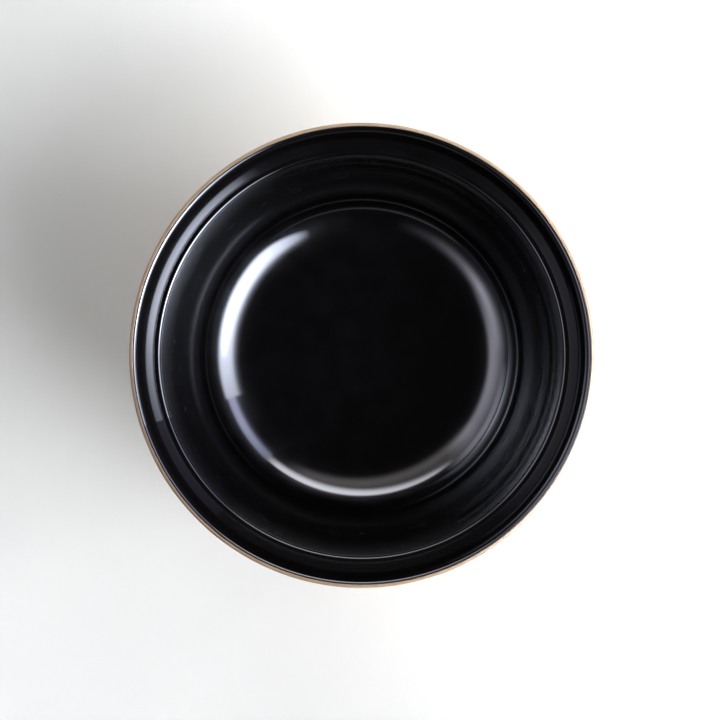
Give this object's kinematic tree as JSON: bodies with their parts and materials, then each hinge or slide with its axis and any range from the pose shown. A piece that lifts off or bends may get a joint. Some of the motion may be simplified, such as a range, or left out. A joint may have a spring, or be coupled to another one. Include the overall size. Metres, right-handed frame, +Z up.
{
  "type": "rice bowl",
  "caption": "Deep round double-walled rice bowl: glossy black liner with a lid ledge, tan outer shell and foot ring.",
  "frame": {"origin": "on the bowl's axis, in the plane that it stands on", "axes": "+Z up along the bowl's axis; the bowl is round, so +X and +Y are free"},
  "size_m": [0.14, 0.14, 0.077],
  "materials": {
    "black_lacquer": "high gloss black urethane lacquer on moulded resin",
    "tan_lacquer": "satin clear coat over tan, faintly wood-toned resin",
    "bond": "cured sealant",
    "foam": "rigid closed-cell foam",
    "base_resin": "fine moulded texture",
    "foot_rubber": "matte silicone"
  },
  "bodies": {
    "root": {"inner_liner": "black_lacquer", "outer_shell": "tan_lacquer", "rim_seal": "bond", "insulation_foam": "foam", "base_cap": "base_resin", "base_plug": "base_resin", "nonslip_ring": "foot_rubber"}
  },
  "joints": []
}
